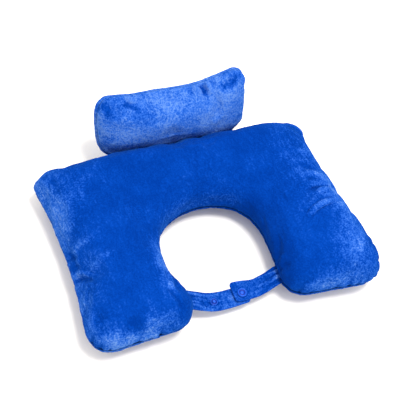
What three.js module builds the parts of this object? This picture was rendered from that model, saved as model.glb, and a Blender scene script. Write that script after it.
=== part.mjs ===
// Travel neck pillow laid flat: a filled U-shaped cushion of velour, a smaller
// headrest cushion sewn to the seam at its back, and a velour strap across the
// open front in two halves, which a plastic snap fastener closes.
// Millimetres, Z up. X runs from the left arm to the right arm, and the arms
// point towards -Y. Everything stands on z = 0.

import * as THREE from 'three';

// Velour and snap finishes
const VELOUR_BLUE = 0x1650bc;
const SNAP_BLUE = 0x4d6fe8;

// U cushion: two panels sewn round their edge, filled. The top panel is crowned,
// and the lower one slopes in from the seam to a wide flat where it lies
const SEAM_HEIGHT = 27;
const CROWN_RISE = 52;
const CROWN_REACH = 44;
const EDGE_BULGE = 4.5;
const UNDER_REACH = 18;
const UNDER_POWER = 0.8;
const FOLD_EDGE = 9;
const FOLD_TAPER = 1.9;
const SHORTEST = 1e-6;
const CORNER_ROWS = 3;
const RIB_SPACING = 11;
const END_RIBS = 7;
const RIB_STEPS = 22;

// One row for each section of the U, from the end of the left arm round the
// back to the end of the right arm: the seam points it joins on the inner and
// the outer edge, and how full it is. The first three rows and the last three
// round off the corners of the arms.
const U_SECTIONS = [
  { innerX: -87, innerY: -130, outerX: -171, outerY: -135, full: 1.0 },
  { innerX: -76.5, innerY: -126, outerX: -183, outerY: -132.5, full: 1.0 },
  { innerX: -69, innerY: -117.5, outerX: -192.5, outerY: -125, full: 1.0 },
  { innerX: -64.5, innerY: -106.5, outerX: -198, outerY: -111.5, full: 1.0 },
  { innerX: -65.5, innerY: -91.5, outerX: -197, outerY: -92, full: 0.99 },
  { innerX: -72.5, innerY: -77, outerX: -194.5, outerY: -66, full: 0.97 },
  { innerX: -77, innerY: -59, outerX: -193, outerY: -38, full: 0.97 },
  { innerX: -78.5, innerY: -39, outerX: -193, outerY: -5, full: 1.0 },
  { innerX: -78, innerY: -20, outerX: -195, outerY: 30, full: 1.0 },
  { innerX: -69.5, innerY: 1, outerX: -197.5, outerY: 67, full: 0.98 },
  { innerX: -56, innerY: 16, outerX: -202, outerY: 97, full: 0.97 },
  { innerX: -46, innerY: 23, outerX: -204.5, outerY: 116.5, full: 0.97 },
  { innerX: -37.5, innerY: 28, outerX: -193, outerY: 126.5, full: 0.97 },
  { innerX: -28, innerY: 31.5, outerX: -164, outerY: 129, full: 0.98 },
  { innerX: -14.5, innerY: 35, outerX: -92, outerY: 134, full: 1.0 },
  { innerX: 0, innerY: 36, outerX: 0, outerY: 136.5, full: 1.0 },
  { innerX: 14.5, innerY: 35, outerX: 92, outerY: 136.5, full: 1.0 },
  { innerX: 28, innerY: 31.5, outerX: 150, outerY: 135.5, full: 0.98 },
  { innerX: 37.5, innerY: 28, outerX: 173, outerY: 130, full: 0.97 },
  { innerX: 46, innerY: 23, outerX: 187.5, outerY: 120, full: 0.97 },
  { innerX: 53.5, innerY: 15.5, outerX: 184, outerY: 102, full: 0.96 },
  { innerX: 64, innerY: 0, outerX: 183.5, outerY: 68, full: 0.98 },
  { innerX: 69.5, innerY: -20, outerX: 188, outerY: 26, full: 1.0 },
  { innerX: 70, innerY: -38, outerX: 192.5, outerY: -8, full: 1.0 },
  { innerX: 70, innerY: -56, outerX: 198, outerY: -42, full: 0.98 },
  { innerX: 68.5, innerY: -73, outerX: 202, outerY: -72, full: 0.97 },
  { innerX: 66.5, innerY: -88, outerX: 204, outerY: -93, full: 0.99 },
  { innerX: 67, innerY: -101, outerX: 203.5, outerY: -107, full: 1.0 },
  { innerX: 72, innerY: -112, outerX: 199.5, outerY: -118.5, full: 1.0 },
  { innerX: 80, innerY: -120.5, outerX: 191, outerY: -126, full: 1.0 },
  { innerX: 92, innerY: -125.5, outerX: 176, outerY: -131.5, full: 1.0 },
];

// Main folds of the U's top face, one row each: the line it follows, its half
// width, and its depth, which is negative where the cloth stands up in a ridge
const U_FOLDS = [
  { fromX: 112, fromY: -18, toX: 158, toY: 4, half: 7, depth: 3.5 },
  { fromX: 116, fromY: -8, toX: 160, toY: 16, half: 7, depth: -2 },
  { fromX: 138, fromY: 28, toX: 172, toY: 34, half: 6, depth: 2.5 },
  { fromX: -196, fromY: -42, toX: -160, toY: -48, half: 6, depth: 3 },
  { fromX: -160, fromY: -18, toX: -112, toY: -20, half: 9, depth: 1.8 },
  { fromX: 66, fromY: -92, toX: 86, toY: -84, half: 13, depth: 5 },
  { fromX: -62, fromY: -98, toX: -80, toY: -90, half: 10, depth: 3 },
  { fromX: 186, fromY: 118, toX: 156, toY: 104, half: 9, depth: 4 },
];

// Headrest cushion: sewn along its lower edge to the back seam, leaning back
const HEADREST_ROOT = { y: 140.7, z: 29.5 };
const HEADREST_LEAN = THREE.MathUtils.degToRad(70);
const HEADREST_FRONT = 27;
const HEADREST_BACK = 24;
const HEADREST_REACH = 32;
const HEADREST_ROUNDING = 1.15;
const HEADREST_BULGE = 3.5;
const HEADREST_NESTLE = 44;
const HEADREST_RIBS = 34;
const HEADREST_STEPS = 16;

// One row for each section of the headrest from its left end to its right end:
// where it lies along the seam, how far up the slope it starts and ends, and
// how far its middle sways forward of the straight slope
const HEADREST_SECTIONS = [
  { x: -110.5, start: 42, end: 66, sway: 0 },
  { x: -108.5, start: 26, end: 84, sway: 0 },
  { x: -102.5, start: 12, end: 94, sway: 0 },
  { x: -89, start: 3, end: 97, sway: 0 },
  { x: -60, start: 0, end: 94.5, sway: 1 },
  { x: -25, start: 0, end: 95.5, sway: 2 },
  { x: 10, start: 0, end: 94.5, sway: 2 },
  { x: 38, start: 0, end: 96.5, sway: 1 },
  { x: 58, start: 0, end: 102, sway: 0 },
  { x: 78, start: 2, end: 107, sway: 0 },
  { x: 91, start: 9, end: 108.5, sway: 0 },
  { x: 98.5, start: 22, end: 102.5, sway: 0 },
  { x: 99.8, start: 38, end: 85, sway: 0 },
];

// Pinch in the headrest's front face, and the ridge beside it: x and distance
// up the slope of each end
const HEADREST_FOLDS = [
  { fromX: 44, fromY: 94, toX: 52, toY: 56, half: 8, depth: 7 },
  { fromX: 30, fromY: 92, toX: 38, toY: 60, half: 7, depth: -2.5 },
  { fromX: -92, fromY: 80, toX: -58, toY: 76, half: 6, depth: -2 },
];

// Straps: flat double bands of velour, one sewn into each arm's inner seam. The
// edges are thinner than the middle, and the ribs crowd towards the free end
const STRAP_THICKNESS = 3;
const STRAP_EDGE_SHARE = 0.55;
const STRAP_EDGE_POWER = 8;
const STRAP_STEPS = 8;
const STRAP_RIBS = 22;
const STRAP_CROWDING = 1.3;
const STRAP_CORNER = 6;

// One row for each cross section: the middle line and the width
const LEFT_STRAP = [
  { x: -63.7, y: -90.5, z: 27.3, width: 29 },
  { x: -47, y: -95.5, z: 23.5, width: 28.5 },
  { x: -32, y: -99.5, z: 20.3, width: 27.5 },
  { x: -14, y: -100.8, z: 19, width: 26.5 },
  { x: 4, y: -100.3, z: 19, width: 26 },
  { x: 21, y: -99, z: 19.3, width: 26 },
];
const RIGHT_STRAP = [
  { x: 66, y: -88, z: 27, width: 26 },
  { x: 54, y: -91.5, z: 25.2, width: 26 },
  { x: 42, y: -94.5, z: 23.4, width: 26 },
  { x: 30, y: -96.5, z: 22.7, width: 26.5 },
  { x: 14, y: -95.8, z: 22.8, width: 29 },
  { x: -0.5, y: -95.3, z: 23.2, width: 30 },
];

// Snap fastener: the cap on the closed pair and the free stud beside it, each
// turned from a profile with one row for each of its edges
const SNAP_GAP = 0.45;
const SNAP_FACETS = 20;
const SNAP_SEARCH = 0.002;
const CAP = { x: 11, y: -99.5 };
const CAP_PROFILE = [
  { radius: 0, height: 0 },
  { radius: 5.6, height: 0 },
  { radius: 6.1, height: 0.4 },
  { radius: 6.1, height: 0.8 },
  { radius: 5.4, height: 1.5 },
  { radius: 4.2, height: 1.9 },
  { radius: 3.5, height: 1.55 },
  { radius: 0, height: 1.8 },
];
const STUD = { x: -28.2, y: -101 };
const STUD_PROFILE = [
  { radius: 0, height: 0 },
  { radius: 4.8, height: 0 },
  { radius: 4.8, height: 0.7 },
  { radius: 4.2, height: 1.0 },
  { radius: 3.4, height: 0.7 },
  { radius: 1.9, height: 0.6 },
  { radius: 1.6, height: 1.3 },
  { radius: 1.9, height: 1.9 },
  { radius: 1.3, height: 2.3 },
  { radius: 0, height: 2.0 },
];

// Depth of one fold at a point of a face: all of it on the fold's own line,
// fading out over its half width and past its ends
function foldDepth(fold, x, y) {
  const runX = fold.toX - fold.fromX;
  const runY = fold.toY - fold.fromY;
  const length = Math.hypot(runX, runY);
  const along = ((x - fold.fromX) * runX + (y - fold.fromY) * runY) / length;
  const across = ((x - fold.fromX) * runY - (y - fold.fromY) * runX) / length;
  const middle = along / length - 0.5;
  const taper = Math.exp(-Math.pow(Math.abs(middle) * FOLD_TAPER, 4));
  return fold.depth * taper * Math.exp(-Math.pow(across / fold.half, 2));
}

function allFolds(folds, x, y) {
  return folds.reduce((sum, fold) => sum + foldDepth(fold, x, y), 0);
}

// Smooth distance of a point from a closed seam line, and the way out to it.
// Each stretch of seam counts by the cube of its nearness, so that the filling
// rounds over between seams instead of meeting in a ridge.
function fromSeam(loop, x, y) {
  let pull = 0;
  let outX = 0;
  let outY = 0;
  for (let i = 0; i < loop.length; i += 1) {
    const a = loop[i];
    const b = loop[(i + 1) % loop.length];
    const length = Math.hypot(b.x - a.x, b.y - a.y);
    if (length < SHORTEST) {
      continue;
    }
    const runX = (b.x - a.x) / length;
    const runY = (b.y - a.y) / length;
    const start = (a.x - x) * runX + (a.y - y) * runY;
    const end = start + length;
    const aside = (a.x - x) * runY - (a.y - y) * runX;
    const squared = aside * aside;
    const nearest = squared + Math.pow(Math.max(start, -end, 0), 2);
    if (nearest < SHORTEST) {
      return { distance: 0, outX: 0, outY: 0 };
    }
    const square = Math.max(squared, SHORTEST);
    const share = (end / Math.hypot(aside, end) - start / Math.hypot(aside, start)) / square;
    const middle = THREE.MathUtils.clamp(0, start, end);
    pull += share;
    outX += share * (aside * runY + middle * runX);
    outY += share * (middle * runY - aside * runX);
  }
  const away = Math.max(Math.hypot(outX, outY), SHORTEST);
  return { distance: Math.sqrt(2 / pull), outX: outX / away, outY: outY / away };
}

// Crown of a filled cushion: 0 at the seam, rising steeply, 1 where it is full
function crown(distance, reach) {
  const rest = 1 - Math.min(1, distance / reach);
  return Math.sqrt(1 - rest * rest);
}

// Outward swell of the cloth above and below the seam, at a share of the crown
function swell(height) {
  return 4 * height * (1 - height);
}

// Closed skin from a grid of points for each face, which share their border.
// Each square is split along its prouder diagonal, so that the cloth rounds over.
function cushionSkin(ribs, steps, facePoint) {
  const positions = [];
  const proud = [];
  const add = (point) => {
    positions.push(...point.at);
    proud.push(point.proud);
    return proud.length - 1;
  };
  const faces = [];
  const square = (a, b, c, d) => {
    if (proud[a] + proud[c] >= proud[b] + proud[d]) {
      faces.push(a, b, c, a, c, d);
    } else {
      faces.push(a, b, d, b, c, d);
    }
  };
  const rows = [];
  for (let i = 0; i <= ribs; i += 1) {
    const top = [];
    const bottom = [];
    for (let j = 0; j <= steps; j += 1) {
      const onSeam = i === 0 || i === ribs || j === 0 || j === steps;
      top.push(add(facePoint(i, j, 1)));
      bottom.push(onSeam ? top[j] : add(facePoint(i, j, -1)));
    }
    rows.push({ top, bottom });
  }
  for (let i = 0; i < ribs; i += 1) {
    for (let j = 0; j < steps; j += 1) {
      const near = rows[i];
      const far = rows[i + 1];
      square(near.top[j], far.top[j], far.top[j + 1], near.top[j + 1]);
      square(near.bottom[j], near.bottom[j + 1], far.bottom[j + 1], far.bottom[j]);
    }
  }
  const skin = new THREE.BufferGeometry();
  skin.setAttribute('position', new THREE.Float32BufferAttribute(positions, 3));
  skin.setIndex(faces);
  return skin;
}

// Share of the way along a rib at each step, closer together near the seams
function ribShare(step, steps) {
  return (1 - Math.cos((Math.PI * step) / steps)) / 2;
}

function uCushion() {
  const lastRow = U_SECTIONS.length - 1;
  const point = (x, y, z) => new THREE.Vector3(x, y, z);
  const inner = new THREE.CatmullRomCurve3(
    U_SECTIONS.map((row) => point(row.innerX, row.innerY, row.full)), false, 'centripetal');
  const outer = new THREE.CatmullRomCurve3(
    U_SECTIONS.map((row) => point(row.outerX, row.outerY, row.full)), false, 'centripetal');

  // Places of the ribs, counted in rows: crowded towards the ends of the arms
  const places = [];
  for (let k = 0; k < END_RIBS; k += 1) {
    places.push(CORNER_ROWS * Math.pow(k / END_RIBS, 2));
  }
  for (let row = CORNER_ROWS; row < lastRow - CORNER_ROWS; row += 1) {
    const span = outer.getPoint(row / lastRow).distanceTo(outer.getPoint((row + 1) / lastRow));
    const count = Math.max(1, Math.round(span / RIB_SPACING));
    for (let k = 0; k < count; k += 1) {
      places.push(row + k / count);
    }
  }
  for (let k = END_RIBS; k >= 0; k -= 1) {
    places.push(lastRow - CORNER_ROWS * Math.pow(k / END_RIBS, 2));
  }

  const ribs = places.map((place) => ({
    inner: inner.getPoint(place / lastRow),
    outer: outer.getPoint(place / lastRow),
  }));
  const seamLoop = [
    ...ribs.map((rib) => rib.inner),
    ...ribs.map((rib) => rib.outer).reverse(),
  ];

  const facePoint = (i, j, side) => {
    const share = ribShare(j, RIB_STEPS);
    const flat = ribs[i].inner.clone().lerp(ribs[i].outer, share);
    const seam = fromSeam(seamLoop, flat.x, flat.y);
    const full = flat.z;
    if (side < 0) {
      const under = Math.pow(Math.min(1, seam.distance / UNDER_REACH), UNDER_POWER);
      return { at: [flat.x, flat.y, SEAM_HEIGHT * (1 - under)], proud: under };
    }
    const height = crown(seam.distance, CROWN_REACH);
    const out = EDGE_BULGE * swell(height);
    const x = flat.x + seam.outX * out;
    const y = flat.y + seam.outY * out;
    const folds = allFolds(U_FOLDS, x, y) * Math.min(1, seam.distance / FOLD_EDGE);
    const rise = CROWN_RISE * height * full - folds;
    return { at: [x, y, SEAM_HEIGHT + rise], proud: rise };
  };
  return cushionSkin(ribs.length - 1, RIB_STEPS, facePoint);
}

function headrestCushion() {
  const lastRow = HEADREST_SECTIONS.length - 1;
  const lower = new THREE.CatmullRomCurve3(
    HEADREST_SECTIONS.map((row) => new THREE.Vector3(row.x, row.start, row.sway)),
    false, 'centripetal');
  const upper = new THREE.CatmullRomCurve3(
    HEADREST_SECTIONS.map((row) => new THREE.Vector3(row.x, row.end, row.sway)),
    false, 'centripetal');
  const ribs = [];
  for (let k = 0; k <= HEADREST_RIBS; k += 1) {
    const place = ribShare(k, HEADREST_RIBS);
    ribs.push({ lower: lower.getPoint(place), upper: upper.getPoint(place) });
  }
  const seamLoop = [
    ...ribs.map((rib) => rib.lower),
    ...ribs.map((rib) => rib.upper).reverse(),
  ];
  const up = { y: Math.cos(HEADREST_LEAN), z: Math.sin(HEADREST_LEAN) };

  const facePoint = (i, j, side) => {
    const share = ribShare(j, HEADREST_STEPS);
    const flat = ribs[i].lower.clone().lerp(ribs[i].upper, share);
    const seam = fromSeam(seamLoop, flat.x, flat.y);
    const height = Math.pow(crown(seam.distance, HEADREST_REACH), HEADREST_ROUNDING);
    const nestle = THREE.MathUtils.smoothstep(flat.y, 0, HEADREST_NESTLE);
    const out = HEADREST_BULGE * swell(height) * nestle;
    const x = flat.x + seam.outX * out;
    const slope = flat.y + seam.outY * out;
    const sway = flat.z * Math.sin(Math.PI * share);
    const folds = allFolds(HEADREST_FOLDS, x, slope) * Math.min(1, seam.distance / FOLD_EDGE);
    const proud = side > 0
      ? HEADREST_FRONT * height * nestle - folds
      : -HEADREST_BACK * height;
    const forward = proud + sway;
    return {
      at: [
        x,
        HEADREST_ROOT.y + slope * up.y - forward * up.z,
        HEADREST_ROOT.z + slope * up.z + forward * up.y,
      ],
      proud: Math.abs(proud),
    };
  };
  return cushionSkin(HEADREST_RIBS, HEADREST_STEPS, facePoint);
}

// Middle line of a strap with its width, at a share of its length
function strapCurve(sections) {
  const lastRow = sections.length - 1;
  const line = new THREE.CatmullRomCurve3(
    sections.map((row) => new THREE.Vector3(row.x, row.y, row.z)), false, 'centripetal');
  return (share) => {
    const place = Math.min(share * lastRow, lastRow - SHORTEST);
    const row = Math.floor(place);
    const width = THREE.MathUtils.lerp(
      sections[row].width, sections[row + 1].width, place - row);
    return { middle: line.getPoint(share), tangent: line.getTangent(share), width };
  };
}

// Flat band with a rounded free end; its root end is cut square for the seam
function strap(sections) {
  const curve = strapCurve(sections);
  const length = new THREE.Vector3(
    sections[0].x - sections.at(-1).x,
    sections[0].y - sections.at(-1).y,
    sections[0].z - sections.at(-1).z).length();
  const positions = [];
  const rings = [];
  for (let i = 0; i <= STRAP_RIBS; i += 1) {
    const share = 1 - Math.pow(1 - i / STRAP_RIBS, STRAP_CROWDING);
    const { middle, tangent, width } = curve(share);
    const toEnd = (1 - share) * length;
    const corner = Math.max(0, STRAP_CORNER - toEnd);
    const half = width / 2 - (STRAP_CORNER - Math.sqrt(STRAP_CORNER ** 2 - corner ** 2));
    const across = new THREE.Vector3(0, 1, 0);
    const up = new THREE.Vector3(-tangent.z, 0, tangent.x).normalize();
    if (up.z < 0) {
      up.negate();
    }
    const ring = [];
    for (const side of [1, -1]) {
      for (let j = 0; j <= STRAP_STEPS; j += 1) {
        const place = side * ((2 * j) / STRAP_STEPS - 1);
        const spread = place * half;
        const plump = Math.sqrt(1 - Math.pow(Math.abs(place), STRAP_EDGE_POWER));
        const thick = THREE.MathUtils.lerp(STRAP_EDGE_SHARE, 1, plump) * STRAP_THICKNESS;
        const lift = (side * thick) / 2;
        const p = middle.clone().addScaledVector(across, spread).addScaledVector(up, lift);
        ring.push(positions.length / 3);
        positions.push(p.x, p.y, p.z);
      }
    }
    rings.push(ring);
  }
  const around = rings[0].length;
  const faces = [];
  const turn = sections[0].x < sections.at(-1).x ? 1 : -1;
  const face = (a, b, c) => faces.push(...(turn > 0 ? [a, b, c] : [a, c, b]));
  for (let i = 0; i < STRAP_RIBS; i += 1) {
    for (let k = 0; k < around; k += 1) {
      const next = (k + 1) % around;
      face(rings[i][k], rings[i + 1][k], rings[i + 1][next]);
      face(rings[i][k], rings[i + 1][next], rings[i][next]);
    }
  }
  for (let j = 0; j < STRAP_STEPS; j += 1) {
    const under = around - 1 - j;
    const first = rings[0];
    const last = rings[STRAP_RIBS];
    face(first[j], first[j + 1], first[under - 1]);
    face(first[j], first[under - 1], first[under]);
    face(last[j], last[under - 1], last[j + 1]);
    face(last[j], last[under], last[under - 1]);
  }
  const band = new THREE.BufferGeometry();
  band.setAttribute('position', new THREE.Float32BufferAttribute(positions, 3));
  band.setIndex(faces);
  return band;
}

// Turned snap piece, whose axis stands up
function turnedSnap(profile) {
  const outline = profile.map((row) => new THREE.Vector2(row.radius, row.height));
  const turned = new THREE.LatheGeometry(outline, SNAP_FACETS);
  turned.rotateX(Math.PI / 2);
  return turned;
}

// Stands a snap on the strap under it, square to the cloth
function seatOnStrap(snap, sections, place) {
  const curve = strapCurve(sections);
  let best = curve(0);
  for (let share = 0; share <= 1; share += SNAP_SEARCH) {
    const here = curve(share);
    if (Math.abs(here.middle.x - place.x) < Math.abs(best.middle.x - place.x)) {
      best = here;
    }
  }
  const slope = Math.atan2(best.tangent.z, Math.hypot(best.tangent.x, best.tangent.y));
  snap.rotation.y = best.tangent.x > 0 ? -slope : slope;
  snap.position.set(place.x, place.y, best.middle.z);
  snap.translateZ(STRAP_THICKNESS / 2 + SNAP_GAP);
}

const velour = (name) => new THREE.MeshStandardMaterial({
  name, color: VELOUR_BLUE, roughness: 0.9, metalness: 0,
});
const snapPlastic = () => new THREE.MeshStandardMaterial({
  name: 'snap_plastic', color: SNAP_BLUE, roughness: 0.35, metalness: 0,
});

function piece(name, geometry, material) {
  const mesh = new THREE.Mesh(geometry, material);
  mesh.name = name;
  return mesh;
}

const pillow = new THREE.Group();
pillow.add(piece('u_cushion', uCushion(), velour('velour')));
pillow.add(piece('headrest_cushion', headrestCushion(), velour('velour')));
pillow.add(piece('strap_left', strap(LEFT_STRAP), velour('strap_velour')));
pillow.add(piece('strap_right', strap(RIGHT_STRAP), velour('strap_velour')));

const cap = piece('snap_cap', turnedSnap(CAP_PROFILE), snapPlastic());
seatOnStrap(cap, RIGHT_STRAP, CAP);
pillow.add(cap);

const stud = piece('snap_stud', turnedSnap(STUD_PROFILE), snapPlastic());
seatOnStrap(stud, LEFT_STRAP, STUD);
pillow.add(stud);

// The origin is the middle of the pillow's outline, on the surface it lies on
const reach = new THREE.Box3().setFromObject(pillow);
const middle = reach.getCenter(new THREE.Vector3());
pillow.position.set(-middle.x, -middle.y, -reach.min.z);

export default pillow;
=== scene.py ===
import math

import bmesh
import bpy
import numpy as np
from mathutils import Matrix, Vector, noise
from mathutils.kdtree import KDTree


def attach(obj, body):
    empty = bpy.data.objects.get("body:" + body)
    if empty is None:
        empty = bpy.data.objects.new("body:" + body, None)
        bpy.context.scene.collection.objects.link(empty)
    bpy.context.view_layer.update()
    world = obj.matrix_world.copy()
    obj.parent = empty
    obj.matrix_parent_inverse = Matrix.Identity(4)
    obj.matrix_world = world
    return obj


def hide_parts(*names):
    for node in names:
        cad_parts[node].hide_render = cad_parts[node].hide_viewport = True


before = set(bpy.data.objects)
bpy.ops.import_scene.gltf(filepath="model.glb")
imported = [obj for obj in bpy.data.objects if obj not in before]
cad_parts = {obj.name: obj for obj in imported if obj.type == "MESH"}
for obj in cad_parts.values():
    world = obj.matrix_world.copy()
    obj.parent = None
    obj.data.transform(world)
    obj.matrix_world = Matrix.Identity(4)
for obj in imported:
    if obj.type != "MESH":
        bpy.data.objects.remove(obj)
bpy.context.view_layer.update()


# Camera. It looks down on the pillow from the front left, turned a little about
# its own axis, and takes a square picture.
LOOK_AT = Vector((0.02423, 0.02386, 0.0))
LOOK_AZIMUTH = math.radians(-34.0)
LOOK_ELEVATION = math.radians(54.2)
LOOK_ROLL = math.radians(16.5)
LOOK_DISTANCE = 1.258
SENSOR_WIDTH = 36.0
FOCAL_PIXELS = 900.0
PICTURE_PIXELS = 416.0

lens = bpy.data.cameras.new("viewpoint")
lens.sensor_fit = "HORIZONTAL"
lens.sensor_width = SENSOR_WIDTH
lens.lens = SENSOR_WIDTH * FOCAL_PIXELS / PICTURE_PIXELS
backward = Vector((
    math.sin(LOOK_AZIMUTH) * math.cos(LOOK_ELEVATION),
    -math.cos(LOOK_AZIMUTH) * math.cos(LOOK_ELEVATION),
    math.sin(LOOK_ELEVATION),
))
level = Vector((0, 0, 1)).cross(backward).normalized()
upright = backward.cross(level)
right = level * math.cos(LOOK_ROLL) + upright * math.sin(LOOK_ROLL)
upward = upright * math.cos(LOOK_ROLL) - level * math.sin(LOOK_ROLL)
camera = bpy.data.objects.new("viewpoint", lens)
camera.matrix_world = Matrix.Translation(LOOK_AT + backward * LOOK_DISTANCE) @ Matrix(
    (right, upward, backward)).transposed().to_4x4()
bpy.context.scene.collection.objects.link(camera)
bpy.context.scene.camera = camera


# U cushion. Two panels of short-pile velour are sewn face to face round their
# edge, turned and filled. The seam is drawn in, the cloth puckers beside it and
# stands proud on both sides of it, and the underside lies flat.
SEAM_HEIGHT = 0.027
SEAM_TOLERANCE = 2e-6
SEAM_STEP = 0.0008
U_WEAVE = 0.0034
WEAVE_TURN = Matrix.Rotation(0.61, 4, "Z") @ Matrix.Rotation(0.37, 4, "X")
NEAR_ENDS = -0.115

# Filling: how far inside its skin the cloth starts, how near the seam it is held, how
# much longer it is than the skin, and how far the filling may push it
START_INSET = 0.0004
SETTLE_FRAMES = 20
PIN_REACH = 0.003
U_EASE = 0.022
U_CAP = 0.006
NEAR_ENDS_LESS = 0.0027
UNDER_CAP = 0.002

# Unevenness of the filling, one row each: its depth, the size of its lumps and its seed
LUMPY_FILLING = [
    (0.0008, 0.045, 1),
    (0.0004, 0.018, 2),
]

# Sewn edge: the puckers beside the seam, the groove it is drawn into, the lip under it,
# and how far the edge swells and its painted shade line fades where the pile covers the seam
PUCKER_DEPTH = 0.0021
PUCKER_REACH_ABOVE = 0.012
PUCKER_REACH_BELOW = 0.004
PUCKER_START = 0.002
GROOVE_DEPTH = 0.0030
GROOVE_REACH_ABOVE = 0.0070
GROOVE_REACH_BELOW = 0.0024
LIP_HEIGHT = 0.0008
LIP_PLACE = 0.0050
LIP_WIDTH = 0.0026
COVERED_SWELL = 0.003
COVERED_FADE = 0.003

# How much further than its filling pushes it the U stands out: at its shoulders, at its
# edge, and more or less in places, and how far the under panel is tucked in
SHOULDER_SWELL = 0.0032
EDGE_SWELL = 0.0017
RIGHT_END_MORE = 0.0006
LEFT_END_LESS = 0.0004
LEFT_SIDE_MORE = 0.0006
RIGHT_CORNER_MORE = 0.0018
UNDER_TUCK = 0.0024

# Folds of the top panel, one row each: the ends of its line seen from above,
# its half width, and its depth, negative where the cloth stands up in a ridge
U_FOLDS = [
    ((-0.1935, -0.0610), (-0.1770, -0.0815), 0.0034, 0.0027),
    ((-0.1927, -0.0555), (-0.1780, -0.0725), 0.0036, -0.0012),
    ((-0.1935, -0.0215), (-0.1880, -0.0350), 0.0026, 0.0016),
    ((-0.1930, -0.0310), (-0.1865, -0.0430), 0.0026, 0.0018),
    ((-0.1928, -0.0415), (-0.1870, -0.0540), 0.0026, 0.0018),
    ((-0.1870, -0.0290), (-0.1630, -0.0340), 0.0042, -0.0012),
    ((-0.1760, -0.0670), (-0.1420, -0.0590), 0.0042, -0.0012),
    ((-0.1780, -0.0420), (-0.1500, -0.0450), 0.0060, 0.0009),
    ((-0.0885, -0.0740), (-0.0890, -0.1130), 0.0032, -0.0009),
    ((-0.0845, -0.0900), (-0.0860, -0.1230), 0.0028, 0.0018),
    ((-0.0970, -0.1080), (-0.0860, -0.1350), 0.0034, -0.0011),
    ((-0.0965, -0.1210), (-0.0850, -0.1430), 0.0030, 0.0020),
    ((-0.1964, 0.0906), (-0.1833, 0.0568), 0.0040, 0.0010),
    ((-0.2013, 0.0818), (-0.1896, 0.0524), 0.0036, -0.0007),
    ((-0.1520, -0.1490), (-0.1330, -0.1560), 0.0060, 0.0010),
    ((0.1180, -0.0690), (0.1550, -0.0550), 0.0024, -0.0022),
    ((0.1190, -0.0635), (0.1580, -0.0500), 0.0030, 0.0030),
    ((0.1400, -0.0430), (0.1740, -0.0340), 0.0026, -0.0016),
    ((0.1300, -0.0330), (0.1620, -0.0330), 0.0044, 0.0019),
    ((0.1400, -0.0160), (0.1540, -0.0210), 0.0042, 0.0018),
    ((0.1340, -0.0060), (0.1560, -0.0110), 0.0040, -0.0009),
    ((0.1300, 0.0120), (0.1560, -0.0010), 0.0050, 0.0011),
    ((0.1420, 0.0380), (0.1600, 0.0260), 0.0045, -0.0009),
    ((0.1500, -0.0760), (0.1720, -0.0600), 0.0040, -0.0010),
    ((0.1560, 0.0880), (0.1740, 0.0600), 0.0045, 0.0012),
    ((0.1660, 0.0860), (0.1800, 0.0740), 0.0030, 0.0024),
    ((0.0655, -0.1045), (0.0750, -0.1060), 0.0021, -0.0018),
    ((0.0655, -0.1115), (0.0720, -0.1085), 0.0021, -0.0018),
    ((0.0640, -0.1165), (0.0740, -0.1205), 0.0042, 0.0024),
]

# Tucks that start at the seam, one row each: the place on the seam seen from
# above, the half width, the depth, and how far from the seam it reaches
U_TUCKS = [
    (-0.1120, -0.1620, 0.0032, 0.0048, 0.014),
    (-0.1190, -0.1625, 0.0030, -0.0014, 0.016),
    (-0.1405, -0.1630, 0.0026, 0.0034, 0.014),
    (-0.1475, -0.1635, 0.0024, 0.0026, 0.011),
    (-0.1785, -0.1630, 0.0030, 0.0024, 0.018),
    (-0.1890, -0.1580, 0.0028, 0.0028, 0.020),
    (-0.1960, -0.1470, 0.0030, 0.0028, 0.020),
    (0.0800, -0.1540, 0.0030, 0.0038, 0.018),
    (0.0980, -0.1600, 0.0030, 0.0018, 0.014),
    (0.1340, -0.1620, 0.0028, 0.0026, 0.014),
    (0.1510, -0.1630, 0.0028, 0.0030, 0.020),
    (0.1640, -0.1630, 0.0024, 0.0024, 0.016),
    (0.1755, -0.1620, 0.0026, 0.0026, 0.024),
    (0.1880, -0.1590, 0.0024, 0.0018, 0.018),
    (0.1965, -0.1520, 0.0026, 0.0026, 0.025),
    (0.2015, -0.1390, 0.0030, 0.0024, 0.020),
]

# Strokes of lighter and darker tone, one row each: the ends of the stroke seen from above,
# its reach, and how much it opens and lightens the pile there, negative where it lays it flat
# and darkens it. Some are patches where the pile lies another way; others are painted light
# on edges and near ends and painted shade in creases and on sides that face away from the light.
U_TONE_STROKES = [
    ((-0.1950, 0.0850), (-0.1850, 0.0400), 0.038, 0.43),
    ((-0.2000, 0.0300), (-0.1960, -0.1000), 0.021, 0.34),
    ((-0.1970, -0.1350), (-0.1800, -0.1580), 0.014, 0.28),
    ((-0.1720, -0.1650), (-0.1350, -0.1650), 0.012, 0.54),
    ((-0.1180, -0.1560), (-0.0940, -0.1520), 0.012, 0.40),
    ((-0.1520, -0.1480), (-0.1390, -0.1520), 0.0060, -0.32),
    ((-0.0890, -0.0500), (-0.0905, -0.1150), 0.012, 0.46),
    ((-0.0900, -0.0650), (-0.0910, -0.0850), 0.008, 0.20),
    ((-0.0800, -0.1450), (-0.0850, -0.1350), 0.012, -0.25),
    ((0.1650, 0.0850), (0.1450, 0.0000), 0.036, 0.40),
    ((0.1760, -0.0350), (0.1690, -0.1200), 0.029, 0.52),
    ((0.1000, -0.1350), (0.1500, -0.1400), 0.022, 0.20),
    ((0.0920, -0.1570), (0.1350, -0.1580), 0.009, 0.28),
    ((0.1360, -0.0730), (0.1560, -0.0740), 0.009, -0.22),
    # Painted shade: darker along the right arm's inner side and beside the right strap's root, which
    # face away from the light
    ((0.0690, -0.1300), (0.0580, -0.0300), 0.020, -0.65),
]


def sewn_skin(node):
    """One closed skin from a CAD cushion, whose mesh comes as loose triangles."""
    skin = bmesh.new()
    skin.from_mesh(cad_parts[node].data)
    bmesh.ops.remove_doubles(skin, verts=skin.verts, dist=1e-5)
    return skin


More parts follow.
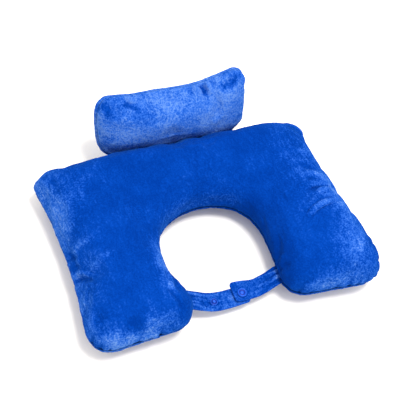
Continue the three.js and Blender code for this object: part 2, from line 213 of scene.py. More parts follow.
def cushion_piece(skin, name, velour):
    """A skin as a piece of its own, in the velour."""
    mesh = bpy.data.meshes.new(name)
    skin.to_mesh(mesh)
    skin.free()
    mesh.materials.clear()
    mesh.materials.append(velour)
    piece = bpy.data.objects.new(name, mesh)
    bpy.context.scene.collection.objects.link(piece)
    return piece


def seam_of(skin, point, normal):
    """Places all along the seam, which is where the skin meets the seam's plane."""
    on_seam = {v for v in skin.verts if abs((v.co - point).dot(normal)) < SEAM_TOLERANCE}
    places = []
    for edge in skin.edges:
        a, b = edge.verts
        if a in on_seam and b in on_seam:
            steps = math.ceil((b.co - a.co).length / SEAM_STEP)
            places += [a.co.lerp(b.co, k / steps) for k in range(steps)]
    tree = KDTree(len(places))
    for i, place in enumerate(places):
        tree.insert(place, i)
    tree.balance()
    return tree


def freeze(piece):
    """Gives the piece the mesh that its modifiers make, and no modifiers."""
    bpy.context.view_layer.update()
    made = piece.evaluated_get(bpy.context.evaluated_depsgraph_get())
    mesh = bpy.data.meshes.new_from_object(made)
    piece.modifiers.clear()
    piece.data = mesh


def even_weave(piece, size):
    """Even squares all over a piece, askew to it so that no fold follows them."""
    piece.data.transform(WEAVE_TURN)
    weave = piece.modifiers.new("weave", "REMESH")
    weave.mode = "VOXEL"
    weave.voxel_size = size
    freeze(piece)
    piece.data.transform(WEAVE_TURN.inverted())


def numbers(items, field, width):
    """One field of a mesh's points as rows of numbers."""
    laid_flat_and_shaded = np.zeros(len(items) * width)
    items.foreach_get(field, laid_flat_and_shaded)
    return laid_flat_and_shaded.reshape(-1, width)


def set_places(mesh, places):
    mesh.vertices.foreach_set("co", places.ravel())
    mesh.update()


def fill(piece, seam, ease, cap_of, floor):
    """Fills a sewn skin: its cloth has some ease, its seam holds, and it swells."""
    mesh = piece.data
    start = numbers(mesh.vertices, "co", 3) - START_INSET * numbers(mesh.vertices, "normal", 3)
    held = piece.vertex_groups.new(name="seam")
    for i, place in enumerate(start):
        near = seam.find(place)[2]
        if near < 2 * PIN_REACH:
            held.add([i], min(1.0, 2 - near / PIN_REACH), "REPLACE")
    set_places(mesh, start)
    cloth = piece.modifiers.new("filling", "CLOTH")
    settings = cloth.settings
    settings.quality = 6
    settings.mass = 0.3
    settings.tension_stiffness = 25
    settings.compression_stiffness = 25
    settings.shear_stiffness = 12
    settings.bending_stiffness = 1.5
    settings.shrink_min = -ease
    settings.vertex_group_mass = held.name
    settings.use_pressure = True
    settings.uniform_pressure_force = 4.0
    settings.effector_weights.gravity = 0
    cloth.collision_settings.use_collision = False
    cloth.point_cache.frame_start = 1
    cloth.point_cache.frame_end = SETTLE_FRAMES
    for number in range(1, SETTLE_FRAMES + 1):
        bpy.context.scene.frame_set(number)
    freeze(piece)
    bpy.context.scene.frame_set(1)
    moved = numbers(piece.data.vertices, "co", 3) - start
    far = np.linalg.norm(moved, axis=1, keepdims=True)
    cap = np.reshape(cap_of(start), (-1, 1))
    places = start + moved * np.minimum(1, cap / np.maximum(far, 1e-9))
    places[:, 2] = np.maximum(places[:, 2], floor)
    set_places(piece.data, places)
    piece.vertex_groups.clear()


def finer(piece):
    """One subdivision, applied."""
    rounder = piece.modifiers.new("finer", "SUBSURF")
    rounder.levels = 1
    rounder.render_levels = 1
    freeze(piece)


def lumps(places, size, seed):
    """Smooth unevenness from -1 to 1, with lumps of that size."""
    shift = Vector((seed * 3.17, seed * 5.71, seed * 1.93))
    return np.array([noise.noise(Vector(place) / size + shift) for place in places])


def bell(values, middle, width):
    """1 at the middle, fading to nothing about two widths away."""
    return np.exp(-((values - middle) / width) ** 2)


def rise(values, start, end):
    """0 up to the start, 1 from the end on, and even between them."""
    return np.clip((values - start) / (end - start), 0, 1)


def stroke(plan, start, end):
    """For points seen from above: their share along a line, how far aside they are, and
    the line's length."""
    start, end = np.array(start), np.array(end)
    length = np.linalg.norm(end - start)
    way = (end - start) / length
    along = (plan - start) @ way / length
    return along, (plan - start) @ np.array((-way[1], way[0])), length


def fold(plan, row):
    """How far one fold takes the cloth inwards. It bows a little and its flanks stand up."""
    start, end, half, depth = row
    along, aside, length = stroke(plan, start, end)
    bow = 0.08 * length * np.sin(math.pi * np.clip(along, 0, 1))
    across = (aside - bow) / half
    taper = np.exp(-((np.abs(along - 0.5) * 1.9) ** 4))
    flanks = 0.35 * np.exp(-1.4 * (np.abs(across) - 1.9) ** 2)
    return depth * taper * (bell(across, 0, 1) - flanks)


def puckers(seam_place, near, above):
    """How far the gathered cloth dips beside the seam, in short folds across it."""
    gather = lumps(seam_place, 0.0085, 3) + 0.6 * lumps(seam_place, 0.0045, 4)
    strength = 0.55 + 0.45 * lumps(seam_place, 0.05, 5)
    reach = np.where(above, PUCKER_REACH_ABOVE, PUCKER_REACH_BELOW)
    away = np.exp(-near / reach) * (1 - bell(near, 0, PUCKER_START))
    return PUCKER_DEPTH * gather * strength * away


def tuck(seam_plan, near, row):
    """How far one tuck takes the cloth inwards, from the place on the seam nearest to it."""
    x, y, half, depth, reach = row
    start = seam_plan[np.argmin(np.linalg.norm(seam_plan - np.array((x, y)), axis=1))]
    aside = np.linalg.norm(seam_plan - start, axis=1)
    return depth * bell(aside, 0, half) * (bell(near, 0, reach) - 0.6 * bell(near, 0, 0.003))


def draw_in(piece, seam, point, axis, folds, tucks, plan_of, shows=lambda places: 1.0):
    """Sculpts a filled cushion: uneven filling, folds, tucks, and the drawn-in seam with its
    puckers. Leaves on the mesh how far each point is from the seam, negative under it, and
    gives back how deep its folds are."""
    mesh = piece.data
    axis = np.array(axis)
    places = numbers(mesh.vertices, "co", 3)
    normals = numbers(mesh.vertices, "normal", 3)
    found = [seam.find(place) for place in places]
    near = np.array([f[2] for f in found])
    seam_place = np.array([f[0] for f in found])
    side = np.sign((places - np.array(point)) @ axis)
    above = side > 0
    inward = sum(depth * lumps(places, size, seed) for depth, size, seed in LUMPY_FILLING)
    inward *= rise(near, 0, 0.01)
    plan = plan_of(places)
    upper = rise(normals @ axis, -0.1, 0.25) * above * rise(near, 0, 0.002)
    for row in folds:
        inward += fold(plan, row) * upper
    seam_plan = plan_of(seam_place)
    for row in tucks:
        inward += tuck(seam_plan, near, row) * above
    inward += puckers(seam_place, near, above)
    relief = inward.copy()
    shown = shows(seam_place)
    groove_reach = np.where(above, GROOVE_REACH_ABOVE, GROOVE_REACH_BELOW)
    inward += GROOVE_DEPTH * shown * bell(near, 0, groove_reach)
    inward -= LIP_HEIGHT * shown * bell(near, LIP_PLACE, LIP_WIDTH) * (side < 0)
    outwards = normals - (normals @ axis)[:, None] * axis
    swell = COVERED_SWELL * (1 - shown) * bell(near, 0, 0.012)
    set_places(mesh, places - normals * inward[:, None] + outwards * np.reshape(swell, (-1, 1)))
    distance = mesh.attributes.new("from_seam", "FLOAT", "POINT")
    distance.data.foreach_set("value", ((near + COVERED_FADE * (1 - shown)) * side).astype(np.float32))
    for face in mesh.polygons:
        face.use_smooth = True
    return relief


# Velour: the sizes of its patches, streaks and tufts, the height of its pile, how wide
# the painted shade line along the seam is, and how far beside it the cloth is puckered
BROAD_SIZE = 0.11
PATCH_SIZE = 0.038
STREAK_SIZE = 0.0042
TUFT_SIZE = 0.0022
PUCKER_SIZE = 0.006
PILE_HEIGHT = 0.0008
SEAM_SHADE_LINE = (0.0006, 0.0021)
PUCKERED = (0.001, 0.012)


def velour_finish(name, shades, patchy=1.0):
    """Short-pile velour: patches where the pile lies one way or another, its grain, painted light
    and painted shade from the nap attribute, and painted shade as a dark line along the seam,
    where there is one."""
    finish = bpy.data.materials.new(name)
    finish.use_nodes = True
    nodes = finish.node_tree.nodes
    links = finish.node_tree.links
    shader = nodes["Principled BSDF"]
    shader.inputs["Roughness"].default_value = 0.85
    shader.inputs["Specular IOR Level"].default_value = 0.0
    shader.inputs["Sheen Weight"].default_value = 0.12
    shader.inputs["Sheen Roughness"].default_value = 0.4
    shader.inputs["Sheen Tint"].default_value = (0.1, 0.45, 1.0, 1)
    where = nodes.new("ShaderNodeTexCoord")

    def cloud(size, detail, stretch=(1, 1, 1), turn=0.0, roughness=0.6, distortion=0.0):
        mapping = nodes.new("ShaderNodeMapping")
        mapping.inputs["Scale"].default_value = [s / size for s in stretch]
        mapping.inputs["Rotation"].default_value = (0, 0, turn)
        texture = nodes.new("ShaderNodeTexNoise")
        texture.inputs["Scale"].default_value = 1.0
        texture.inputs["Detail"].default_value = detail
        texture.inputs["Roughness"].default_value = roughness
        texture.inputs["Distortion"].default_value = distortion
        links.new(where.outputs["Object"], mapping.inputs["Vector"])
        links.new(mapping.outputs["Vector"], texture.inputs["Vector"])
        return texture.outputs["Fac"]

    def maths(operation, a, b=0.0, clamp=False):
        node = nodes.new("ShaderNodeMath")
        node.operation = operation
        node.use_clamp = clamp
        for socket, value in zip(node.inputs, (a, b)):
            if isinstance(value, (int, float)):
                socket.default_value = value
            else:
                links.new(value, socket)
        return node.outputs[0]

    def ranged(value, low, high, to_low, to_high):
        node = nodes.new("ShaderNodeMapRange")
        node.interpolation_type = "SMOOTHSTEP"
        links.new(value, node.inputs["Value"])
        node.inputs["From Min"].default_value = low
        node.inputs["From Max"].default_value = high
        node.inputs["To Min"].default_value = to_low
        node.inputs["To Max"].default_value = to_high
        return node.outputs["Result"]

    patches = ranged(cloud(PATCH_SIZE, 2, roughness=0.5, distortion=0.3), 0.32, 0.68, 0, 1)
    streaks = ranged(cloud(STREAK_SIZE, 3, stretch=(1, 0.35, 1), turn=0.35), 0.3, 0.7, 0, 1)
    broad = ranged(cloud(BROAD_SIZE, 2), 0.3, 0.7, 0, 1)
    tufts = ranged(cloud(TUFT_SIZE, 3, roughness=0.72), 0.32, 0.68, 0, 1)
    nap_and_light = nodes.new("ShaderNodeAttribute")
    nap_and_light.attribute_name = "nap_and_light"
    seam = nodes.new("ShaderNodeAttribute")
    seam.attribute_name = "from_seam"
    from_seam = maths("ABSOLUTE", seam.outputs["Fac"])

    def blend(shares):
        total = maths("MULTIPLY", *shares[0])
        for value, share in shares[1:]:
            total = maths("ADD", total, maths("MULTIPLY", value, share))
        return total

    lying = blend([(patches, 0.12 * patchy), (streaks, 0.10), (broad, 0.10), (tufts, 0.24)])
    wisps = blend([(patches, 0.14 * patchy), (streaks, 0.20), (tufts, 0.30)])
    # The nap attribute carries painted light and painted sheen where it is high and painted shade where
    # it is below zero, besides patches of the pile
    turned = ranged(maths("ADD", nap_and_light.outputs["Fac"], wisps), 0.35, 1.40, 0, 1)
    tone = maths("ADD", lying, maths("MULTIPLY", turned, 0.62))
    laid_flat_and_shaded = maths("MULTIPLY", maths("MINIMUM", nap_and_light.outputs["Fac"], 0.0), 0.4)
    tone = maths("ADD", tone, maths("SUBTRACT", laid_flat_and_shaded, 0.13), clamp=True)
    colour = nodes.new("ShaderNodeValToRGB")
    links.new(tone, colour.inputs["Fac"])
    stops = colour.color_ramp.elements
    while len(stops) < len(shades):
        stops.new(0.5)
    for stop, (place, tint) in zip(stops, shades):
        stop.position = place
        stop.color = (*tint, 1)
    # Painted shade: the colour is darkened along the seam, standing in for the shade in its groove
    line = ranged(from_seam, *SEAM_SHADE_LINE, 0.25, 1.0)
    shade = nodes.new("ShaderNodeMix")
    shade.data_type = "RGBA"
    shade.blend_type = "MULTIPLY"
    shade.inputs["Factor"].default_value = 1.0
    links.new(colour.outputs["Color"], shade.inputs[6])
    links.new(line, shade.inputs[7])
    links.new(shade.outputs[2], shader.inputs["Base Color"])
    wrinkles = maths("MULTIPLY", cloud(PUCKER_SIZE, 2), ranged(from_seam, *PUCKERED, 1, 0))
    pile = nodes.new("ShaderNodeBump")
    pile.inputs["Strength"].default_value = 0.7
    pile.inputs["Distance"].default_value = PILE_HEIGHT
    links.new(blend([(tufts, 0.45), (streaks, 0.8), (wrinkles, 2.0)]), pile.inputs["Height"])
    links.new(pile.outputs["Normal"], shader.inputs["Normal"])
    return finish


# Painted sheen where the cloth faces a side, and more painted light where it faces the near
# side, how much painted shade each metre of a fold's depth adds, and its least and most
SHEEN_AT_SIDES = 0.18
LIGHT_IN_FRONT = 0.11
SHADE_IN_FOLDS = 170
NAP_LIGHT_RANGE = (-0.5, 1.2)


def paint_nap_and_light(piece, level, strokes, plan_of, relief):
    """Leaves on the mesh the nap attribute, which lightens or darkens the velour: painted sheen
    where the cloth curves away to a side, painted light where it faces the near side, lighter or
    darker tone along the strokes, and painted shade in the folds."""
    facing = numbers(piece.data.vertices, "normal", 3)
    tilt = rise(1 - np.abs(facing[:, 2]), 0.06, 0.66)
    side_sheen_and_front_light = SHEEN_AT_SIDES + LIGHT_IN_FRONT * np.clip(-facing[:, 1], 0, 1)
    nap_lightness = tilt * tilt * (3 - 2 * tilt) * side_sheen_and_front_light + level
    plan = plan_of(numbers(piece.data.vertices, "co", 3))
    for start, end, reach, amount in strokes:
        along, aside, length = stroke(plan, start, end)
        past = (along - np.clip(along, 0, 1)) * length
        nap_lightness += amount * np.exp(-(aside ** 2 + past ** 2) / reach ** 2) * (facing[:, 2] > -0.3)
    nap_lightness -= SHADE_IN_FOLDS * relief
    tone_layer = piece.data.attributes.new("nap_and_light", "FLOAT", "POINT")
    tone_layer.data.foreach_set("value", np.clip(nap_lightness, *NAP_LIGHT_RANGE).astype(np.float32))


def from_above(places):
    return places[:, :2]


# Colours of the velour from its darkest tone to its lightest; the lighter stops, which the nap attribute
# reaches, are painted light, and the palest is a painted sheen
VELOUR_SHADES = [
    (0.0, (0.0003, 0.026, 0.210)),
    (0.3, (0.0012, 0.043, 0.308)),
    (0.65, (0.020, 0.100, 0.450)),
    (1.0, (0.110, 0.222, 0.520)),
]


def u_cap(places):
    """How far the filling may push each point: less at the shoulders of the near ends, and
    least under the seam, where the pillow lies."""
    shoulders = rise(places[:, 1], NEAR_ENDS, NEAR_ENDS - 0.02) * rise(places[:, 2], 0.035, 0.050)
    over = U_CAP - NEAR_ENDS_LESS * shoulders
    return np.where(places[:, 2] < SEAM_HEIGHT - 0.004, UNDER_CAP, over)


def stand_out(piece):
    """Swells the shoulders and the edge of the U, and tucks its under panel in."""
    mesh = piece.data
    places = numbers(mesh.vertices, "co", 3)
    facing = numbers(mesh.vertices, "normal", 3)
    above = numbers(mesh.attributes["from_seam"].data, "value", 1)[:, 0]
    across, deep = places[:, 0], places[:, 1]
    far_corners = rise(np.abs(across), 0.12, 0.17) * rise(deep, 0.04, 0.07)
    near_ends = rise(deep, NEAR_ENDS, NEAR_ENDS - 0.03)
    right_side = bell(deep, -0.030, 0.035) * (across > 0.1)
    shoulder = bell(facing[:, 2], 0.6, 0.35) * (1 - bell(above, 0, 0.016)) * (above > 0)
    shoulder *= SHOULDER_SWELL * (1 + 0.4 * right_side) * (1 - 0.9 * far_corners) * (1 - 0.8 * near_ends)
    places += facing * shoulder[:, None]
    left_side = bell(deep, 0.015, 0.045) * (across < -0.15)
    right_corner = rise(across, 0.180, 0.195) * rise(deep, -0.11, -0.13)
    edge = EDGE_SWELL + np.where(across > 0, RIGHT_END_MORE, -LEFT_END_LESS) * near_ends
    edge += LEFT_SIDE_MORE * left_side + RIGHT_CORNER_MORE * right_corner
    edge *= bell(above, 0, 0.014)
    edge -= UNDER_TUCK * rise(above, -0.0020, -0.0065)
    places[:, :2] += facing[:, :2] * edge[:, None]
    places[:, 2] = np.maximum(places[:, 2], 0)
    set_places(mesh, places)


velour = velour_finish("velour", VELOUR_SHADES)
skin = sewn_skin("u_cushion")
u_seam = seam_of(skin, Vector((0, 0, SEAM_HEIGHT)), Vector((0, 0, 1)))
u_cushion = cushion_piece(skin, "velour_u_cushion", velour)
even_weave(u_cushion, U_WEAVE)
fill(u_cushion, u_seam, U_EASE, u_cap, floor=0.0)
finer(u_cushion)
relief = draw_in(
    u_cushion, u_seam, (0, 0, SEAM_HEIGHT), (0, 0, 1), U_FOLDS, U_TUCKS, from_above)
stand_out(u_cushion)
paint_nap_and_light(u_cushion, 0.0, U_TONE_STROKES, from_above, relief)
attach(u_cushion, "root")
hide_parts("u_cushion")


# Headrest. A smaller cushion of the same velour, made the same way, whose lower
# edge is sewn to the back seam of the U. It leans back, and its front is pinched.
HEADREST_ROOT = Vector((0, 0.113959, 0.0295))
HEADREST_LEAN = math.radians(70)
HEADREST_WEAVE = 0.0028
HEADREST_EASE = 0.018
HEADREST_CAP = 0.0045
# Painted light: the headrest's nap starts higher, so it is lighter all over, as if lit from the front
HEADREST_FRONT_LIGHT = 0.68

# Folds of its front and strokes of lighter and darker tone, seen from above, one row each, as
# on the U; its darker strokes lie beside its folds and pinch, as painted shade
HEADREST_FOLDS = [
    ((0.0320, 0.1470), (0.0400, 0.1290), 0.0042, 0.0038),
    ((0.0400, 0.1470), (0.0455, 0.1300), 0.0038, -0.0028),
    ((0.0240, 0.1470), (0.0290, 0.1310), 0.0046, -0.0018),
    ((-0.0815, 0.1490), (-0.0640, 0.1350), 0.0034, -0.0020),
    ((-0.0740, 0.1350), (-0.0610, 0.1275), 0.0040, 0.0020),
    ((-0.1080, 0.1450), (-0.0980, 0.1300), 0.0040, 0.0020),
    ((0.0850, 0.1395), (0.0630, 0.1300), 0.0046, 0.0020),
    ((-0.0300, 0.1460), (-0.0100, 0.1300), 0.0060, 0.0010),
]
HEADREST_TONE_STROKES = [
    ((-0.0600, 0.1400), (0.0600, 0.1380), 0.020, 0.30),
    ((-0.0950, 0.1440), (-0.0850, 0.1300), 0.010, -0.10),
    ((-0.0740, 0.1330), (-0.0610, 0.1270), 0.006, -0.30),
    ((-0.1060, 0.1420), (-0.0990, 0.1290), 0.007, -0.35),
    ((0.0650, 0.1340), (0.0860, 0.1400), 0.008, -0.30),
    ((0.0400, 0.1330), (0.0390, 0.1250), 0.006, -0.20),
]

out_of_front = Vector((0, -math.sin(HEADREST_LEAN), math.cos(HEADREST_LEAN)))
up_slope = np.array((0, math.cos(HEADREST_LEAN), math.sin(HEADREST_LEAN)))
root = np.array(HEADREST_ROOT)


def headrest_seam_shows(places):
    """How much of the seam shows: little along the upper edges, where the pile covers it."""
    up = (places - root) @ up_slope
    along_top = rise(np.abs(places[:, 0] + 0.005), 0.100, 0.092)
    return 1 - rise(up, 0.030, 0.060) * (0.40 + 0.45 * along_top)


def headrest_cap(places):
    return np.full(len(places), HEADREST_CAP)


skin = sewn_skin("headrest_cushion")
headrest_seam = seam_of(skin, HEADREST_ROOT, out_of_front)
headrest = cushion_piece(skin, "velour_headrest", velour)
even_weave(headrest, HEADREST_WEAVE)
fill(headrest, headrest_seam, HEADREST_EASE, headrest_cap, floor=0.0)
finer(headrest)
relief = draw_in(
    headrest, headrest_seam, HEADREST_ROOT, out_of_front, HEADREST_FOLDS, [], from_above,
    headrest_seam_shows)
paint_nap_and_light(headrest, HEADREST_FRONT_LIGHT, HEADREST_TONE_STROKES, from_above, relief)
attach(headrest, "root")
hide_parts("headrest_cushion")


# Straps. Two flat bands of the velour, each a tube turned right side out and
# pressed, so that its edges are folds. The root of each is caught in an arm's
# inner seam, and the free ends lie on each other across the open front.
STRAP_THICKNESS = 0.0026
STRAP_CORNER = 0.006

# Sections of each strap, from its root: x, y and z of its middle, and its width
LEFT_STRAP = [
    (-0.0705, -0.1145, 0.0279, 0.0280),
    (-0.0609, -0.1180, 0.0266, 0.0290),
    (-0.0469, -0.1222, 0.0235, 0.0285),
    (-0.0319, -0.1262, 0.0203, 0.0275),
    (-0.0139, -0.1275, 0.0190, 0.0265),
    (0.0041, -0.1270, 0.0190, 0.0260),
    (0.0211, -0.1257, 0.0193, 0.0260),
]
RIGHT_STRAP = [
    (0.0701, -0.1134, 0.0274, 0.0260),
    (0.0661, -0.1147, 0.0270, 0.0260),
    (0.0541, -0.1182, 0.0252, 0.0260),
    (0.0421, -0.1212, 0.0234, 0.0260),
    (0.0301, -0.1232, 0.0227, 0.0265),
    (0.0141, -0.1225, 0.0228, 0.0290),
    (-0.0004, -0.1220, 0.0232, 0.0300),
]

# Stretch ridges that fan out from each root, one row each: their place across the
# strap at the root, how far they drift, their height, and how far along they reach
LEFT_RIDGES = [
    (-0.80, 0.25, 0.0011, 0.42),
    (-0.42, 0.55, -0.0011, 0.40),
    (-0.08, 0.75, 0.0014, 0.46),
    (0.26, 0.55, -0.0012, 0.36),
    (0.52, 0.30, 0.0012, 0.34),
    (0.82, 0.05, -0.0008, 0.26),
]
RIGHT_RIDGES = [
    (-0.62, 0.10, -0.0009, 0.40),
    (-0.28, 0.55, 0.0015, 0.62),
    (0.02, 0.50, -0.0011, 0.50),
    (0.26, 0.60, 0.0011, 0.48),
    (0.60, 0.30, -0.0008, 0.35),
]

# Stretch lines of each strap: how far they drift across it, and their seed
LEFT_STRANDS = (1.5, 7.7)
RIGHT_STRANDS = (-1.0, 3.1)

# Rings pressed by the snaps: the share along the strap and the place across it, in half
# widths, then the ring's radius and depth. A strap's rough length and half width place them.
STUD_RING = ((0.43, -0.02), 0.0052, 0.0009)
CAP_RING = ((0.855, -0.13), 0.0070, 0.0006)
ROUGH_LENGTH = 0.09
ROUGH_HALF_WIDTH = 0.0137
RING_WIDTH = 0.0018

# Heights of the straps' waves and stretch lines, how much each metre of a ridge's height
# lightens the pile as painted light and darkens it in hollows as painted shade, and its least and most
WAVE_HEIGHT = 0.0005
LEFT_LINE_HEIGHT = 0.0004
RIGHT_LINE_HEIGHT = 0.0003
LIGHT_ON_RIDGES = 300
STRAP_NAP_LIGHT_RANGE = (-0.4, 1.1)


def length_of(rows):
    """The length of a strap's middle line."""
    return sum(math.dist(a[:3], b[:3]) for a, b in zip(rows, rows[1:]))


def along(rows, share):
    """The row of a table at a share of its length, on a smooth line through the rows."""
    rows = np.array(rows)
    place = share * (len(rows) - 1)
    i = min(int(place), len(rows) - 2)
    t = place - i
    before, a, b, after = (rows[min(max(i + k, 0), len(rows) - 1)] for k in (-1, 0, 1, 2))
    return 0.5 * (2 * a + (b - before) * t + (2 * before - 5 * a + 4 * b - after) * t ** 2
                  + (3 * a - before - 3 * b + after) * t ** 3)


def strap_piece(name, rows, height_of, openness_of):
    """A pressed band along the rows, whose far end has rounded corners."""
    band = bmesh.new()
    bmesh.ops.create_grid(band, x_segments=84, y_segments=26, size=0.5)
    tone_layer = band.verts.layers.float.new("nap_and_light")
    length = length_of(rows)
    least, most = STRAP_NAP_LIGHT_RANGE
    for point in band.verts:
        share, place = point.co.x + 0.5, point.co.y * 2
        row = along(rows, share)
        ahead = along(rows, min(1, share + 0.01)) - along(rows, max(0, share - 0.01))
        corner = max(0.0, STRAP_CORNER - (1 - share) * length)
        half = row[3] / 2 - (STRAP_CORNER - math.sqrt(STRAP_CORNER ** 2 - corner ** 2))
        up = Vector((-ahead[2], 0, ahead[0])).normalized()
        if up.z < 0:
            up.negate()
        height = height_of(share, place)
        point.co = Vector(row[:3]) + Vector((0, place * half, 0)) + up * height
        # Painted light on the strap's ridges and painted shade in its hollows and pressed rings
        ridge_lit_openness = openness_of(share, place) + LIGHT_ON_RIDGES * height
        point[tone_layer] = min(most, max(least, ridge_lit_openness))
    bmesh.ops.recalc_face_normals(band, faces=band.faces)
    mesh = bpy.data.meshes.new(name)
    band.to_mesh(mesh)
    band.free()
    piece = bpy.data.objects.new(name, mesh)
    bpy.context.scene.collection.objects.link(piece)
    doubled = piece.modifiers.new("doubled", "SOLIDIFY")
    doubled.thickness = STRAP_THICKNESS
    doubled.offset = 0
    rounder = piece.modifiers.new("rounder", "SUBSURF")
    rounder.levels = 1
    rounder.render_levels = 1
    freeze(piece)
    for face in piece.data.polygons:
        face.use_smooth = True
    return piece


def ridges(rows, share, place):
    return sum(
        height * math.exp(-((place - start - drift * share) / 0.13) ** 2 - (share / reach) ** 3)
        for start, drift, height, reach in rows)


def strands(share, place, drift, seed):
    """Thin stretch lines along a strap, closer together and stronger at its root."""
    line = place * (5.5 - 2.5 * share) + drift * share
    fade = 0.3 + 0.7 * math.exp(-(share / 0.5) ** 4)
    return 1.6 * fade * noise.noise(Vector((share * 3.2, line, seed)))


def pressed(share, place, ring):
    """The ring that a snap presses into the cloth round itself."""
    middle, size, depth = ring
    aside = math.hypot((share - middle[0]) * ROUGH_LENGTH, (place - middle[1]) * ROUGH_HALF_WIDTH)
    return -depth * math.exp(-((aside - size) / RING_WIDTH) ** 2)


def left_height(share, place):
    waves = WAVE_HEIGHT * noise.noise(Vector((share * 6, place * 1.5, 4.2)))
    lines = LEFT_LINE_HEIGHT * strands(share, place, *LEFT_STRANDS)
    return 0.8 * ridges(LEFT_RIDGES, share, place) + waves + pressed(share, place, STUD_RING) + lines


def left_openness(share, place):
    return 0.54 + 0.20 * math.exp(-(share / 0.35) ** 2) + 0.50 * strands(share, place, *LEFT_STRANDS)


def right_height(share, place):
    waves = WAVE_HEIGHT * noise.noise(Vector((share * 7, place * 1.6, 9.1)))
    lines = RIGHT_LINE_HEIGHT * strands(share, place, *RIGHT_STRANDS)
    return ridges(RIGHT_RIDGES, share, place) + waves + pressed(share, place, CAP_RING) + lines


def right_openness(share, place):
    return 0.25 + 0.24 * share + 0.45 * strands(share, place, *RIGHT_STRANDS)


strap_velour = velour_finish("strap_velour", VELOUR_SHADES, patchy=0.4)
strap_left = strap_piece("velour_strap_left", LEFT_STRAP, left_height, left_openness)
strap_right = strap_piece("velour_strap_right", RIGHT_STRAP, right_height, right_openness)
for strap, node, rows, over in (
        (strap_left, "strap_left", LEFT_STRAP, "velour_u_cushion"),
        (strap_right, "strap_right", RIGHT_STRAP, "velour_strap_left")):
    strap.data.materials.append(strap_velour)
    distance = strap.data.attributes.new("from_seam", "FLOAT", "POINT")
    distance.data.foreach_set("value", np.full(len(strap.data.vertices), 1.0, np.float32))
    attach(strap, "root")
    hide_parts(node)


# Snaps. Moulded plastic, pressed through the cloth: the cap of the closed pair on
# the tab, and the free stud on the left strap.
CAP_PLACE = (0.0111, -0.1263, 0.02477)
STUD_PLACE = (-0.0281, -0.1278, 0.02145)
CAP_GROOVE_RADIUS = 0.0033
STUD_GROOVE_RADIUS = 0.0029
SNAP_GROOVE_HALF_WIDTH = 0.0010
SNAP_BLUE = (0.010, 0.090, 0.54, 1)
SNAP_GROOVE_SHADE = (0.002, 0.022, 0.25, 1)

# Outlines of the turned pieces, by radius and height
CAP_OUTLINE = [
    (0.0, -0.0004), (0.0055, -0.0004), (0.0060, 0.0001), (0.0061, 0.0008), (0.0058, 0.0017),
    (0.0052, 0.0023), (0.0046, 0.0021), (0.0040, 0.0010), (0.0034, 0.0004), (0.0028, 0.0004),
    (0.0022, 0.0009), (0.0014, 0.0014), (0.0, 0.0015),
]
STUD_OUTLINE = [
    (0.0, -0.0004), (0.0044, -0.0004), (0.0047, 0.0001), (0.0048, 0.0009), (0.0045, 0.0014),
    (0.0040, 0.0013), (0.0036, 0.0006), (0.0034, -0.0001), (0.0024, -0.0001), (0.0020, 0.0006),
    (0.0018, 0.0014), (0.0020, 0.0020), (0.0016, 0.0025), (0.0007, 0.0024), (0.0, 0.0022),
]

snap_plastic = bpy.data.materials.new("snap_plastic")
snap_plastic.use_nodes = True
moulded = snap_plastic.node_tree.nodes["Principled BSDF"]
# Painted shade: the groove attribute mixes a darker blue into the plastic where each snap's groove lies
tint = snap_plastic.node_tree.nodes.new("ShaderNodeMix")
tint.data_type = "RGBA"
tint.inputs[6].default_value = SNAP_BLUE
tint.inputs[7].default_value = SNAP_GROOVE_SHADE
groove = snap_plastic.node_tree.nodes.new("ShaderNodeAttribute")
groove.attribute_name = "groove"
snap_plastic.node_tree.links.new(groove.outputs["Fac"], tint.inputs[0])
snap_plastic.node_tree.links.new(tint.outputs[2], moulded.inputs["Base Color"])
moulded.inputs["Roughness"].default_value = 0.32
moulded.inputs["Specular IOR Level"].default_value = 0.2


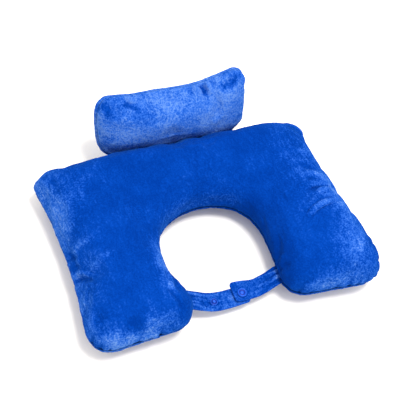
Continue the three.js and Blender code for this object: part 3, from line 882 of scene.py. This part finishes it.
def turned_snap(name, outline, place, grooved):
    """A snap turned from its outline, seated on the strap, with painted shade in its groove."""
    turned = bmesh.new()
    deep = turned.verts.layers.float.new("groove")
    points = [turned.verts.new((radius, 0, height)) for radius, height in outline]
    edges = [turned.edges.new(pair) for pair in zip(points, points[1:])]
    bmesh.ops.spin(
        turned, geom=points + edges, cent=(0, 0, 0), axis=(0, 0, 1), angle=2 * math.pi,
        steps=48, use_merge=True)
    bmesh.ops.remove_doubles(turned, verts=turned.verts, dist=1e-6)
    bmesh.ops.recalc_face_normals(turned, faces=turned.faces)
    for point in turned.verts:
        radius = math.hypot(point.co.x, point.co.y)
        point[deep] = math.exp(-(((radius - grooved) / SNAP_GROOVE_HALF_WIDTH) ** 4))
    bmesh.ops.translate(turned, vec=place, verts=turned.verts)
    mesh = bpy.data.meshes.new(name)
    turned.to_mesh(mesh)
    turned.free()
    mesh.materials.append(snap_plastic)
    piece = bpy.data.objects.new(name, mesh)
    bpy.context.scene.collection.objects.link(piece)
    rounder = piece.modifiers.new("rounder", "SUBSURF")
    rounder.levels = 1
    rounder.render_levels = 1
    freeze(piece)
    for face in piece.data.polygons:
        face.use_smooth = True
    return piece


cap = turned_snap("cap_on_tab", CAP_OUTLINE, CAP_PLACE, CAP_GROOVE_RADIUS)
stud = turned_snap("stud_on_strap", STUD_OUTLINE, STUD_PLACE, STUD_GROOVE_RADIUS)
for snap, node in ((cap, "snap_cap"), (stud, "snap_stud")):
    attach(snap, "root")
    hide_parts(node)


# Studio. A pale floor without an edge in view, a strong soft light high up, a little
# to the right and in front, and even light from all round.
FLOOR_GAP = 0.0003
FLOOR_WHITE = (0.94, 0.90, 0.83, 1)
KEY_PLACE = Vector((0.20, -0.32, 1.95))
KEY_SIZE = 0.6
KEY_WATTS = 34
ROUND_LIGHT = 1.28

ground = bmesh.new()
bmesh.ops.create_grid(ground, x_segments=1, y_segments=1, size=6)
floor_mesh = bpy.data.meshes.new("floor")
ground.to_mesh(floor_mesh)
ground.free()
floor = bpy.data.objects.new("floor", floor_mesh)
floor.location.z = -FLOOR_GAP
bpy.context.scene.collection.objects.link(floor)
white = bpy.data.materials.new("floor_white")
white.use_nodes = True
paint = white.node_tree.nodes["Principled BSDF"]
paint.inputs["Base Color"].default_value = FLOOR_WHITE
paint.inputs["Roughness"].default_value = 0.9
floor_mesh.materials.append(white)

lamp = bpy.data.lights.new("key", "AREA")
lamp.shape = "DISK"
lamp.size = KEY_SIZE
lamp.energy = KEY_WATTS
stand = bpy.data.objects.new("key", lamp)
towards = (-KEY_PLACE).to_track_quat("-Z", "Y")
stand.matrix_world = Matrix.Translation(KEY_PLACE) @ towards.to_matrix().to_4x4()
bpy.context.scene.collection.objects.link(stand)
world = bpy.data.worlds.new("studio")
world.use_nodes = True
world.node_tree.nodes["Background"].inputs["Color"].default_value = (1, 1, 1, 1)
world.node_tree.nodes["Background"].inputs["Strength"].default_value = ROUND_LIGHT
bpy.context.scene.world = world
bpy.context.scene.view_settings.view_transform = "Standard"
